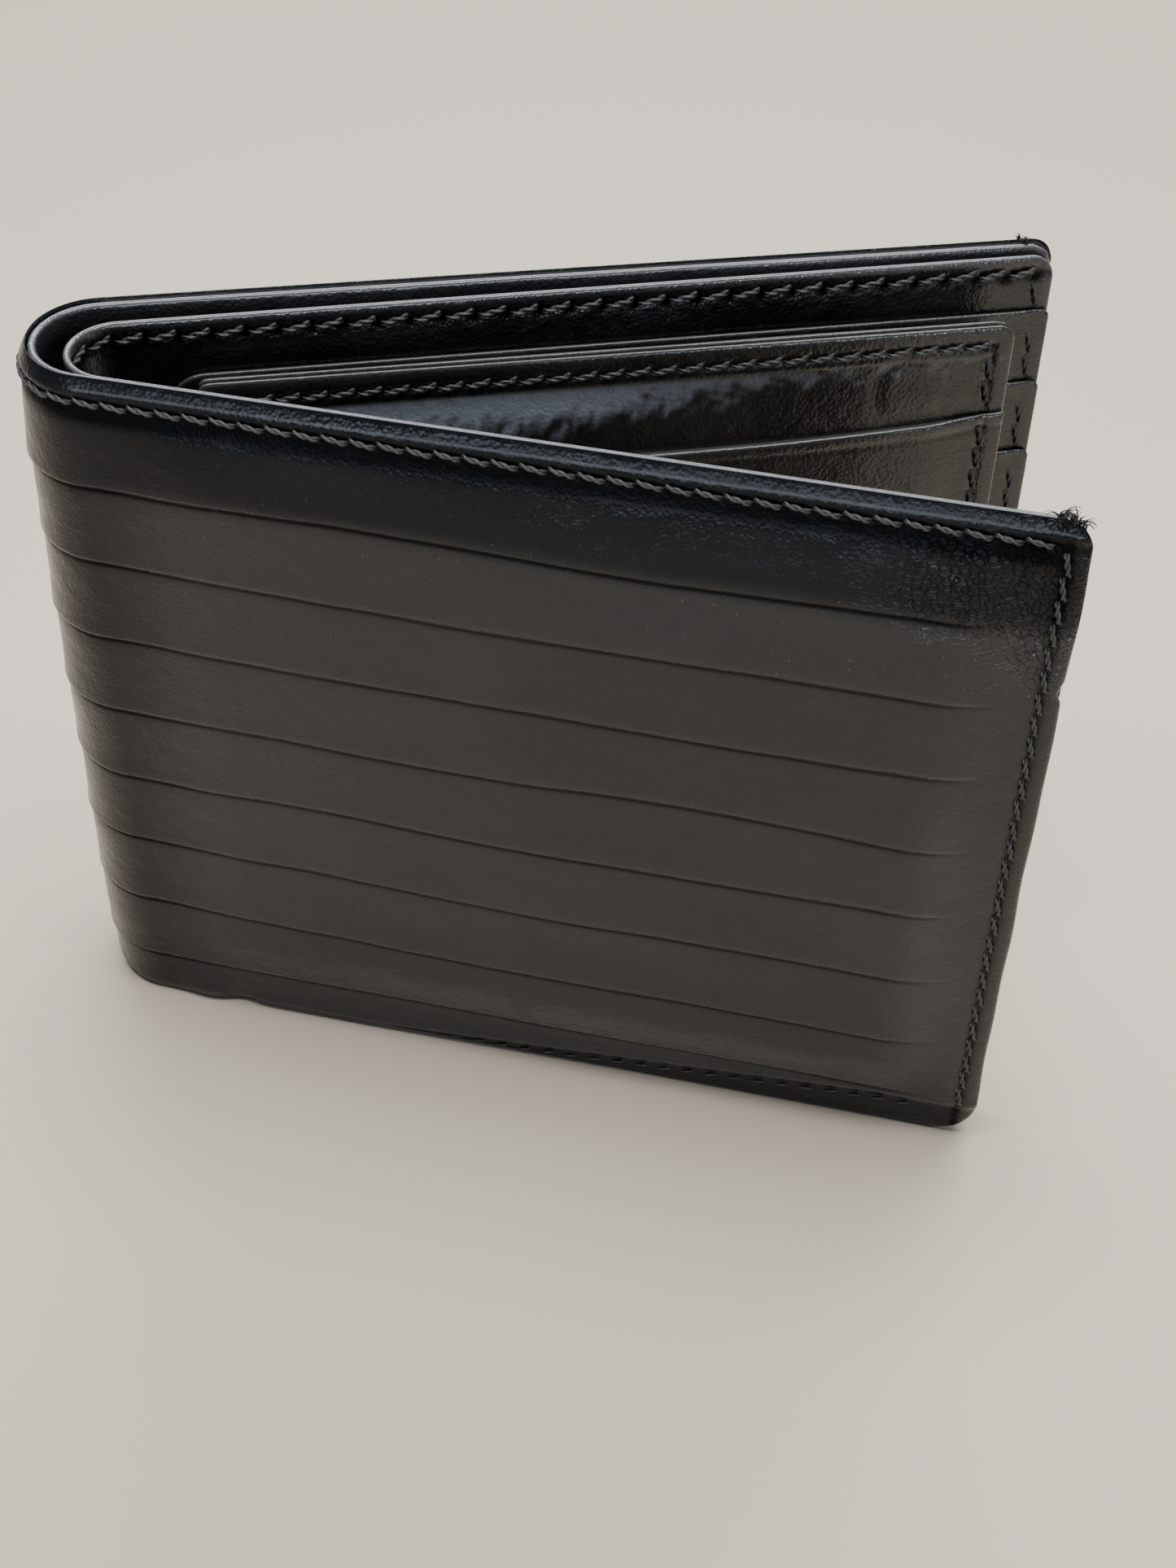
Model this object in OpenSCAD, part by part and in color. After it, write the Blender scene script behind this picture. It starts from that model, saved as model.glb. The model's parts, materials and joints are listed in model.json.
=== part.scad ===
// Leather billfold, standing on its long lower edge and partly open.
// The fold is at -X, the two halves run out to +X, the front half on the -Y side.

/* [Cover] */
// Height of the cover
cover_height = 90; // [80:1:100]
// Length of the front half, from the fold to its free edge
front_length = 102; // [92:0.5:112]
// Length of the back half
back_length = 104.5; // [94:0.5:114]
// Outer radius of the fold
fold_radius = 8.5; // [8.5:0.1:11]
// Angle that each half stands away from closed
half_opening = 10.9; // [8:0.1:20]
// Radius of the upper free corners
top_corner = 3; // [1:0.5:6]
// Radius of the lower free corners
bottom_corner = 5.5; // [2:0.5:9]

/* [Leather thickness] */
// Outer leather of the cover
cover_leather = 0.9; // [0.6:0.1:1.0]
// Turned hem, stiffening card and fold interlining
interlining = 0.3; // [0.2:0.1:0.4]
// Lining leather of the cover
lining_leather = 0.7; // [0.4:0.1:0.8]
// Wall between the bill compartment and the card pockets
wall_leather = 0.7; // [0.4:0.1:0.8]
// Fabric behind the card slots
pocket_fabric = 0.2; // [0.1:0.1:0.3]
// Each card slot panel
slot_leather = 0.6; // [0.4:0.1:0.7]

/* [Bill compartment] */
// Gap along the front half and at the back half's free edge
bill_gap = 0.4; // [0.3:0.1:0.5]
// Gap of the back half at the fold
bill_gap_fold = 2.0; // [1.0:0.1:2.2]
// How far the wall stops below the cover's upper edge
wall_drop = 1.0; // [0.5:0.5:3]

/* [Card slots] */
// Slots on each half
slot_count = 3; // [1:1:3]
// Upper edge of the highest slot
first_slot_top = 82.5; // [70:0.5:85]
// Step from one slot down to the next
slot_step = 9; // [7:1:16]

/* [Wing] */
// Width of the wing, from its hinge to its free edge
wing_width = 90; // [70:1:92]
// Upper edge of the wing
wing_top = 84.8; // [70:0.1:86]
// Lower edge of the wing
wing_bottom = 6; // [3:1:12]
// Angle of the wing away from the back half's slots
wing_lift = 2; // [1.9:0.1:3]
// Upper edge of the card slot on the wing
wing_slot_top = 74; // [50:1:78]

/* [Stitching] */
// Distance from one stitch to the next
stitch_pitch = 2.9; // [2.5:0.1:4]
// Length of one stitch
stitch_length = 2.2; // [1.5:0.1:2.4]
// Thickness of the thread
thread_width = 0.45; // [0.3:0.05:0.6]
// How far the thread stands proud of the leather
thread_proud = 0.2; // [0.1:0.05:0.25]
// Slant of each stitch against its row
stitch_slant = 8; // [0:1:15]
// Distance of the cover's upper seam from its edge
upper_seam = 2.6; // [2:0.1:5]
// Distance of the bill wall's seam from its edge
wall_seam = 2; // [1.5:0.1:5]
// Distance of the seams at the free edges from those edges
side_seam = 2.1; // [2:0.1:4]
// Distance of the cover's lower seam from its edge
lower_seam = 3.2; // [2.5:0.1:5]

/* [Hidden] */
$fn = 48;

leather_black = [0.07, 0.07, 0.08];
lining_black = [0.10, 0.10, 0.11];
card_grey = [0.45, 0.42, 0.38];
fabric_black = [0.16, 0.16, 0.18];
thread_grey = [0.22, 0.22, 0.23];

cover_thick = cover_leather + interlining + lining_leather;
hem_width = 7;
edge_inset = 0.3;
wall_bottom = 2;
pocket_bottom = 3;
fold_clear = 0.05;
clear_angle = 0.4;
pocket_back = wall_leather + pocket_fabric;
slot_face = pocket_back + slot_count * slot_leather;
back_taper = asin((bill_gap_fold - bill_gap) / back_length);

// The wall's fold touches the lines of both its arms.
wall_turn_x = 2;
front_arm = fold_radius - cover_thick - bill_gap;
back_arm = (fold_radius - cover_thick - bill_gap_fold) * cos(back_taper);
wall_turn_y = ((back_arm - front_arm)
  + wall_turn_x * (sin(half_opening + back_taper) - sin(half_opening)))
  / (cos(half_opening) + cos(half_opening + back_taper));
wall_turn_radius = front_arm + wall_turn_x * sin(half_opening) + wall_turn_y * cos(half_opening);
front_wall_start = wall_turn_x * cos(half_opening) - wall_turn_y * sin(half_opening);
back_wall_start = wall_turn_x * cos(half_opening) + wall_turn_y * sin(half_opening);
pocket_start = 6;
slot_corner = 1;
fabric_inset = 1.2;
seam_clear = 1;
lower_seam_start = 12;

// The wing is built round its own middle plane.
wing_leather = 0.6;
wing_card_thick = 0.4;
wing_slot_leather = 0.5;
wing_thick = 2 * wing_leather + wing_card_thick + wing_slot_leather;
wing_hinge_radius = 0.4;
wing_hinge_at = 8;
wing_start = 1.2;
wing_corner = 2;
wing_seam = 2.4;
anchor_thick = 0.3;
anchor_width = 9;
wing_hinge_depth = slot_face + anchor_thick + 0.1 + wing_thick / 2;

// Centre of the standing object's box.
box_right = back_length * cos(half_opening) - (fold_radius - cover_thick - bill_gap - slot_face)
  * sin(half_opening) - edge_inset;
centre_x = (box_right - fold_radius - thread_proud) / 2;
centre_y = (back_length - front_length) * sin(half_opening) / 2;

function half_length(side) = side == "front" ? front_length : back_length;
function half_taper(side) = side == "front" ? 0 : back_taper;
function wall_start(side) = (side == "front" ? front_wall_start : back_wall_start) + fold_clear;
function slot_top(i) = first_slot_top - (i - 1) * slot_step;

module centred() {
  translate([-centre_x, -centre_y, 0]) children();
}

// Inside these two, x runs along the half from the fold and y inward from its outer face.
module half_frame(side) {
  centred()
    mirror([0, side == "front" ? 0 : 1, 0])
      rotate([0, 0, -half_opening])
        translate([0, -fold_radius, 0])
          children();
}

module pocket_frame(side) {
  half_frame(side)
    translate([half_length(side), cover_thick + bill_gap, 0])
      rotate([0, 0, -half_taper(side)])
        translate([-half_length(side), 0, 0])
          children();
}

// The wing turns about the vertical line through this frame's origin.
module wing_frame() {
  pocket_frame("back")
    translate([wing_hinge_at, wing_hinge_depth, 0])
      rotate([0, 0, wing_lift])
        children();
}

module corner_waste(radius) {
  difference() {
    square(radius + 1);
    circle(radius);
  }
}

module panel_outline(width, height, top_radius, bottom_radius) {
  difference() {
    square([width, height]);
    translate([width - top_radius, height - top_radius]) corner_waste(top_radius);
    translate([width - bottom_radius, bottom_radius]) mirror([0, 1]) corner_waste(bottom_radius);
  }
}

// A flat panel from x = start to x = end, its outer face at y = 0.
module panel(start, end, low, high, thick, top_radius, bottom_radius) {
  translate([start, thick, low])
    rotate([90, 0, 0])
      linear_extrude(thick)
        panel_outline(end - start, high - low, top_radius, bottom_radius);
}

module fold_sheet(radius, thick, low, high, first_angle, last_angle) {
  translate([0, 0, low])
    rotate([0, 0, first_angle])
      rotate_extrude(angle = last_angle - first_angle)
        translate([radius - thick, 0])
          square([thick, high - low]);
}

module cover_fold(outer_offset, thick, low, high) {
  centred()
    fold_sheet(fold_radius - outer_offset, thick, low, high,
      90 + half_opening + clear_angle, 270 - half_opening - clear_angle);
}

// A row of slanted stitches lying on the plane y = 0, on its -y side.
module stitch() {
  rotate([0, -stitch_slant, 0])
    translate([-stitch_length / 2, -thread_proud, -thread_width / 2])
      cube([stitch_length, thread_proud, thread_width]);
}

module level_stitches(start, end, height) {
  for (x = [start + stitch_pitch / 2 : stitch_pitch : end - stitch_pitch / 2])
    translate([x, 0, height]) stitch();
}

module upright_stitches(low, high, x) {
  for (z = [low + stitch_pitch / 2 : stitch_pitch : high - stitch_pitch / 2])
    translate([x, 0, z]) rotate([0, 90, 0]) stitch();
}

module cover_leather_half(side) {
  color(leather_black)
    half_frame(side)
      panel(fold_clear, half_length(side), 0, cover_height, cover_leather,
        top_corner, bottom_corner);
}

module cover_middle(side, inset) {
  translate([0, cover_leather, 0])
    panel(fold_clear, half_length(side) - inset, inset, cover_height - inset, interlining,
      max(top_corner - inset, 0.5), max(bottom_corner - inset, 0.5));
}

module cover_hem_half(side) {
  color(leather_black)
    half_frame(side)
      difference() {
        cover_middle(side, edge_inset);
        translate([-1, cover_leather - 1, hem_width])
          cube([half_length(side) - hem_width + 1, interlining + 2, cover_height - 2 * hem_width]);
      }
}

module cover_stiffener_half(side) {
  color(card_grey)
    half_frame(side)
      translate([fold_clear, cover_leather, hem_width])
        cube([half_length(side) - hem_width - fold_clear, interlining,
          cover_height - 2 * hem_width]);
}

module cover_lining_half(side) {
  color(lining_black)
    half_frame(side)
      translate([0, cover_leather + interlining, 0])
        panel(fold_clear, half_length(side) - edge_inset, edge_inset,
          cover_height - edge_inset, lining_leather, top_corner, bottom_corner);
}

module cover_thread_half(side) {
  color(thread_grey)
    half_frame(side) {
      level_stitches(seam_clear, half_length(side) - side_seam - seam_clear,
        cover_height - upper_seam);
      upright_stitches(bottom_corner, cover_height - upper_seam - 2 * seam_clear,
        half_length(side) - side_seam);
      level_stitches(lower_seam_start, half_length(side) - bottom_corner, lower_seam);
    }
}

module bill_wall_half(side) {
  color(lining_black)
    pocket_frame(side)
      panel(wall_start(side), half_length(side) - edge_inset, wall_bottom,
        cover_height - wall_drop, wall_leather, top_corner, top_corner);
}

module bill_thread_half(side) {
  color(thread_grey)
    pocket_frame(side)
      translate([0, wall_leather, 0])
        mirror([0, 1, 0])
          level_stitches(wall_start(side) + seam_clear,
            half_length(side) - side_seam - seam_clear, cover_height - wall_drop - wall_seam);
}

module pocket_fabric_half(side) {
  color(fabric_black)
    pocket_frame(side)
      translate([0, wall_leather, 0])
        panel(pocket_start + fabric_inset, half_length(side) - edge_inset - fabric_inset,
          pocket_bottom + fabric_inset, first_slot_top - fabric_inset, pocket_fabric,
          slot_corner, slot_corner);
}

module card_slot_half(side, i) {
  color(leather_black)
    pocket_frame(side)
      translate([0, pocket_back + (i - 1) * slot_leather, 0])
        panel(pocket_start, half_length(side) - edge_inset, pocket_bottom, slot_top(i),
          slot_leather, slot_corner, slot_corner);
}

module slot_thread_half(side) {
  color(thread_grey)
    pocket_frame(side)
      for (i = [1 : slot_count])
        translate([0, pocket_back + i * slot_leather, 0])
          mirror([0, 1, 0])
            upright_stitches(i < slot_count ? slot_top(i + 1) + seam_clear / 2
              : pocket_bottom + seam_clear, slot_top(i) - seam_clear / 2,
              half_length(side) - side_seam);
}

module cover_leather_spine() {
  color(leather_black) cover_fold(0, cover_leather, 0, cover_height);
}

module interlining_spine() {
  color(fabric_black)
    cover_fold(cover_leather, interlining, edge_inset, cover_height - edge_inset);
}

module cover_lining_spine() {
  color(lining_black)
    cover_fold(cover_leather + interlining, lining_leather, edge_inset,
      cover_height - edge_inset);
}

module cover_thread_spine() {
  stitch_angle = stitch_pitch / fold_radius * 180 / PI;
  color(thread_grey)
    centred()
      for (angle = [100 + half_opening : stitch_angle : 262 - half_opening])
        rotate([0, 0, angle + 90])
          translate([0, -fold_radius, cover_height - upper_seam])
            stitch();
}

module bill_wall_spine() {
  color(lining_black)
    centred()
      translate([wall_turn_x, wall_turn_y, 0])
        fold_sheet(wall_turn_radius, wall_leather, wall_bottom, cover_height - wall_drop,
          90 + half_opening + back_taper, 270 - half_opening);
}

module bill_thread_spine() {
  inner_radius = wall_turn_radius - wall_leather;
  stitch_angle = stitch_pitch / inner_radius * 180 / PI;
  sagitta = inner_radius - sqrt(pow(inner_radius, 2) - pow(stitch_length / 2 + 0.2, 2));
  color(thread_grey)
    centred()
      translate([wall_turn_x, wall_turn_y, 0])
        for (angle = [110 + half_opening : stitch_angle : 255 - half_opening])
          rotate([0, 0, angle - 90])
            translate([0, inner_radius - sagitta, cover_height - wall_drop - wall_seam])
              stitch();
}

module wing_anchor_strip() {
  color(leather_black)
    pocket_frame("back")
      translate([0, slot_face, 0])
        panel(wing_hinge_at - 1, wing_hinge_at - 1 + anchor_width, wing_bottom + 1,
          slot_top(slot_count) - 1, anchor_thick, slot_corner, slot_corner);
}

module wing_hinge_strip() {
  strip_low = wing_bottom + 1;
  strip_high = wing_top - 2;
  color(leather_black)
    wing_frame()
      translate([0, 0, strip_low]) {
        cylinder(r = wing_hinge_radius, h = strip_high - strip_low);
        translate([0, -wing_hinge_radius, 0])
          cube([wing_start, 2 * wing_hinge_radius, strip_high - strip_low]);
      }
}

module wing_layer(from_middle, thick, low, high) {
  wing_frame()
    translate([0, from_middle, 0])
      panel(wing_start, wing_width, low, high, thick, wing_corner, wing_corner);
}

module wing_back_leather() {
  color(leather_black) wing_layer(-wing_thick / 2, wing_leather, wing_bottom, wing_top);
}

module wing_card() {
  color(card_grey)
    wing_layer(-wing_thick / 2 + wing_leather, wing_card_thick, wing_bottom + 0.5,
      wing_top - 0.5);
}

module wing_front_leather() {
  color(leather_black)
    wing_layer(wing_thick / 2 - wing_slot_leather - wing_leather, wing_leather, wing_bottom,
      wing_top);
}

// The slot panel's upper edge dips gently, so that a thumb can push a card out.
module wing_slot_panel() {
  dip_radius = 420;
  dip = 2.4;
  color(leather_black)
    difference() {
      wing_layer(wing_thick / 2 - wing_slot_leather, wing_slot_leather, wing_bottom,
        wing_slot_top);
      wing_frame()
        translate([wing_width / 2, 0, wing_slot_top + dip_radius - dip])
          rotate([-90, 0, 0])
            cylinder(r = dip_radius, h = wing_thick, $fn = 360);
    }
}

module wing_thread() {
  color(thread_grey)
    wing_frame() {
      translate([0, wing_thick / 2 - wing_slot_leather, 0])
        mirror([0, 1, 0]) {
          level_stitches(wing_start + 2 * seam_clear, wing_width - wing_seam,
            wing_top - wing_seam);
          upright_stitches(wing_slot_top + seam_clear, wing_top - wing_seam,
            wing_width - wing_seam);
        }
      translate([0, wing_thick / 2, 0])
        mirror([0, 1, 0])
          upright_stitches(wing_bottom + wing_seam, wing_slot_top - 2 * seam_clear,
            wing_width - wing_seam);
    }
}

cover_leather_half("front");  // cover_leather_front
cover_hem_half("front");  // cover_hem_front
cover_stiffener_half("front");  // cover_stiffener_front
cover_lining_half("front");  // cover_lining_front
cover_thread_half("front");  // cover_thread_front
bill_wall_half("front");  // bill_wall_front
bill_thread_half("front");  // bill_thread_front
pocket_fabric_half("front");  // pocket_fabric_front
card_slot_half("front", 1);  // card_slot_front_1
card_slot_half("front", 2);  // card_slot_front_2
card_slot_half("front", 3);  // card_slot_front_3
slot_thread_half("front");  // slot_thread_front
cover_leather_spine();
interlining_spine();
cover_lining_spine();
cover_thread_spine();
bill_wall_spine();
bill_thread_spine();
cover_leather_half("back");  // cover_leather_back
cover_hem_half("back");  // cover_hem_back
cover_stiffener_half("back");  // cover_stiffener_back
cover_lining_half("back");  // cover_lining_back
cover_thread_half("back");  // cover_thread_back
bill_wall_half("back");  // bill_wall_back
bill_thread_half("back");  // bill_thread_back
pocket_fabric_half("back");  // pocket_fabric_back
card_slot_half("back", 1);  // card_slot_back_1
card_slot_half("back", 2);  // card_slot_back_2
card_slot_half("back", 3);  // card_slot_back_3
slot_thread_half("back");  // slot_thread_back
wing_anchor_strip();
wing_hinge_strip();
wing_back_leather();
wing_card();
wing_front_leather();
wing_slot_panel();
wing_thread();
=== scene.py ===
import json
import math
import random

import bpy
import bmesh
import numpy as np
from mathutils import Matrix, Vector


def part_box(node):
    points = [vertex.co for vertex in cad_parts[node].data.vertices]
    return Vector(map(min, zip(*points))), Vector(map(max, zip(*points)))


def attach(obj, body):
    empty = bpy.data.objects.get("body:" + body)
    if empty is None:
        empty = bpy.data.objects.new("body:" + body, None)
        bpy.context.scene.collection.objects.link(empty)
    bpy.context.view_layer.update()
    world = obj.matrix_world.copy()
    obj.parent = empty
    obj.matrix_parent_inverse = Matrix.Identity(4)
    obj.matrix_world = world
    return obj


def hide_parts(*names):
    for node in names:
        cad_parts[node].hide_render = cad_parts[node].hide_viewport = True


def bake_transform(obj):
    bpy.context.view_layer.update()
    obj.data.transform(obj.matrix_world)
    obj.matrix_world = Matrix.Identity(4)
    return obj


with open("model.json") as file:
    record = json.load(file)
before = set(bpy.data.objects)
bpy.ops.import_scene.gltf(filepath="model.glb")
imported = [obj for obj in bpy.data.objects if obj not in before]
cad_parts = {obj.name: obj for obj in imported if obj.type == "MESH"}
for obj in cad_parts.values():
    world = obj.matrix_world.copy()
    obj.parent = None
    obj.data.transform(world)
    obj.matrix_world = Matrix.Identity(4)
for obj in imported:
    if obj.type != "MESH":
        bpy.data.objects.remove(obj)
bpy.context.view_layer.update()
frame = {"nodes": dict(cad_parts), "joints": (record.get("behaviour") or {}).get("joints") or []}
print("frame loaded:", len(frame["nodes"]), "nodes")

# Lengths below are in millimetres; meshes are scaled to metres when they are made.
wallet = {
    "foldRadius": 8.5,  # outer face of the cover at the fold
    "coverLeather": 0.9,
    "coverThick": 1.9,
    "wallThick": 0.7,
    "wallDrop": 1.0,
    "billGap": 0.4,
    "billGapFold": 2.0,
    "slotThick": 0.6,
    "pocketFabric": 0.2,
    "pocketStart": 6.0,
    "slotTops": (82.5, 73.5, 64.5),
    "edgeInset": 0.3,
}

mm = 0.001
uvScale = 0.01  # one unit of the flat map is 100 mm of leather


def smooth(x):
    x = np.clip(x, 0, 1)
    return x * x * (3 - 2 * x)


def bell(x, width):
    return np.exp(-(x / width) ** 2)


def ripple(a, b, size, seed, count=6):
    # gentle unevenness: a few sine waves in seeded directions, about -1 to 1
    rng = random.Random(seed)
    total = np.zeros(np.broadcast(a, b).shape)
    for _ in range(count):
        turn = rng.uniform(0, math.pi)
        length = size * rng.uniform(0.6, 1.6)
        phase = rng.uniform(0, 2 * math.pi)
        total = total + np.sin((a * math.cos(turn) + b * math.sin(turn)) * 2 * math.pi / length + phase)
    return total / count ** 0.5 / 1.4


# the wallet's plan is read from the frame
opening = math.radians(-frame["joints"][0]["range_deg"][0])
spineLow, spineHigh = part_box("cover_leather_spine")
foldX = spineLow.x / mm + wallet["foldRadius"]
foldY = (spineLow.y + spineHigh.y) / 2 / mm
coverHeight = spineHigh.z / mm


def halfLength(side):
    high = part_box("cover_leather_back" if side > 0 else "cover_leather_front")[1]
    innerFace = wallet["foldRadius"] - wallet["coverLeather"]
    return (high.x / mm - foldX + innerFace * math.sin(opening)) / math.cos(opening)


lengths = {1: halfLength(1), -1: halfLength(-1)}
taper = math.asin((wallet["billGapFold"] - wallet["billGap"]) / lengths[1])
print("halves", round(lengths[-1], 2), round(lengths[1], 2), "mm")


def outward(side, turn):
    return np.array((-math.sin(turn), side * math.cos(turn)))


def along(side, turn):
    return np.array((math.cos(turn), side * math.sin(turn)))


def foldPath(centre, radius, side, turn):
    # x runs round the fold from its middle and on along the half; depth is inward
    bend = radius * (math.pi / 2 - turn)

    def place(x, z, depth):
        x, z, depth = np.broadcast_arrays(*(np.asarray(v, float) for v in (x, z, depth)))
        angle = np.clip(x, 0, bend) / radius
        run = np.maximum(x - bend, 0)
        reach = radius - depth
        direction = along(side, turn)
        px = centre[0] - reach * np.cos(angle) + run * direction[0]
        py = centre[1] + side * reach * np.sin(angle) + run * direction[1]
        return np.stack([(px + foldX) * mm, (py + foldY) * mm, z * mm], -1)

    return place, bend


def coverPath(side):
    return foldPath((0.0, 0.0), wallet["foldRadius"], side, opening)


def pocketTurn(side):
    return opening + (taper if side > 0 else 0)


def pocketPath(side):
    # x is the distance from the fold along the half, depth starts at the bill wall's outer face
    turn = pocketTurn(side)
    freeEnd = (wallet["foldRadius"] - wallet["coverThick"] - wallet["billGap"]) * outward(side, opening)
    freeEnd = freeEnd + lengths[side] * along(side, opening)

    def place(x, z, depth):
        x, z, depth = np.broadcast_arrays(*(np.asarray(v, float) for v in (x, z, depth)))
        direction = along(side, turn)
        normal = outward(side, turn)
        px = freeEnd[0] - (lengths[side] - x) * direction[0] - depth * normal[0]
        py = freeEnd[1] - (lengths[side] - x) * direction[1] - depth * normal[1]
        return np.stack([(px + foldX) * mm, (py + foldY) * mm, z * mm], -1)

    return place


def wallFold():
    # the bill wall's round turn touches the lines of both its arms
    turnX = 2.0
    front = wallet["foldRadius"] - wallet["coverThick"] - wallet["billGap"]
    back = (wallet["foldRadius"] - wallet["coverThick"] - wallet["billGapFold"]) * math.cos(taper)
    leanBack = opening + taper
    turnY = (back - front + turnX * (math.sin(leanBack) - math.sin(opening))) / (
        math.cos(opening) + math.cos(leanBack))
    radius = front + turnX * math.sin(opening) + turnY * math.cos(opening)
    return (turnX, turnY), radius


wallCentre, wallRadius = wallFold()


def wallPath(side):
    return foldPath(wallCentre, wallRadius, side, pocketTurn(side))


def wallReach(side):
    # the bill wall's full length from the middle of the fold to its free edge
    place, bend = wallPath(side)
    start = place(bend, 0, 0)[:2]
    end = pocketPath(side)(lengths[side] - wallet["edgeInset"], 0, 0)[:2]
    return bend + float(np.linalg.norm(end - start)) / mm


wing = {
    "hingeAt": 8.0,
    "width": 90.0,
    "start": 1.2,
    "low": 6.0,
    "top": 84.8,
    "sag": 1.6,  # the upper edge is lower toward the fold
    "leather": 0.6,
    "card": 0.4,
    "slotLeather": 0.5,
    "slotTop": 74.0,
    "slotDip": 2.4,
    "seam": 2.4,
    "hem": 3.7,
    "lift": math.radians(2.0),
}
wing["thick"] = 2 * wing["leather"] + wing["card"] + wing["slotLeather"]
slotFace = wallet["wallThick"] + wallet["pocketFabric"] + 3 * wallet["slotThick"]


def wingPath():
    hinge = [j for j in frame["joints"] if j["name"] == "wing_hinge"][0]["pos_m"]
    turn = pocketTurn(1) - wing["lift"]
    direction = along(1, turn)
    normal = outward(1, turn)

    def place(x, z, depth):
        x, z, depth = np.broadcast_arrays(*(np.asarray(v, float) for v in (x, z, depth)))
        px = hinge[0] + (x * direction[0] - depth * normal[0]) * mm
        py = hinge[1] + (x * direction[1] - depth * normal[1]) * mm
        return np.stack([px, py, z * mm], -1)

    return place


rimSteps = [0, 0.03, 0.09, 0.18, 0.3, 0.48, 0.75]  # distances of the closest grid lines from a rim


def gridLines(low, high, step, fineLow=True, fineHigh=True):
    # closely spaced lines at a rounded rim, even ones between
    start = rimSteps if fineLow else [0]
    stop = rimSteps if fineHigh else [0]
    inner = np.linspace(low + start[-1], high - stop[-1], max(int((high - low) / step), 2) + 1)
    lines = [low + r for r in start[:-1]] + list(inner) + [high - r for r in reversed(stop[:-1])]
    return np.array(lines)


def meshObject(name, points, faces, material):
    mesh = bpy.data.meshes.new(name)
    mesh.from_pydata([tuple(p) for p in points], [], faces)
    mesh.validate()
    mesh.shade_smooth()
    mesh.materials.append(material)
    piece = bpy.data.objects.new(name, mesh)
    bpy.context.scene.collection.objects.link(piece)
    return piece


def roundCorner(x, z, cornerX, cornerZ, radius, sx, sz):
    # square corner of the grid drawn in to a round one
    dx = np.clip((x - cornerX) * sx + radius, 0, None)
    dz = np.clip((z - cornerZ) * sz + radius, 0, None)
    inside = (dx > 0) & (dz > 0)
    reach = np.hypot(dx, dz)
    scale = np.where(inside, np.maximum(dx, dz) / np.maximum(reach, 1e-9), 1)
    x = np.where(inside, cornerX - sx * radius + sx * dx * scale, x)
    z = np.where(inside, cornerZ - sz * radius + sz * dz * scale, z)
    return x, z


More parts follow.
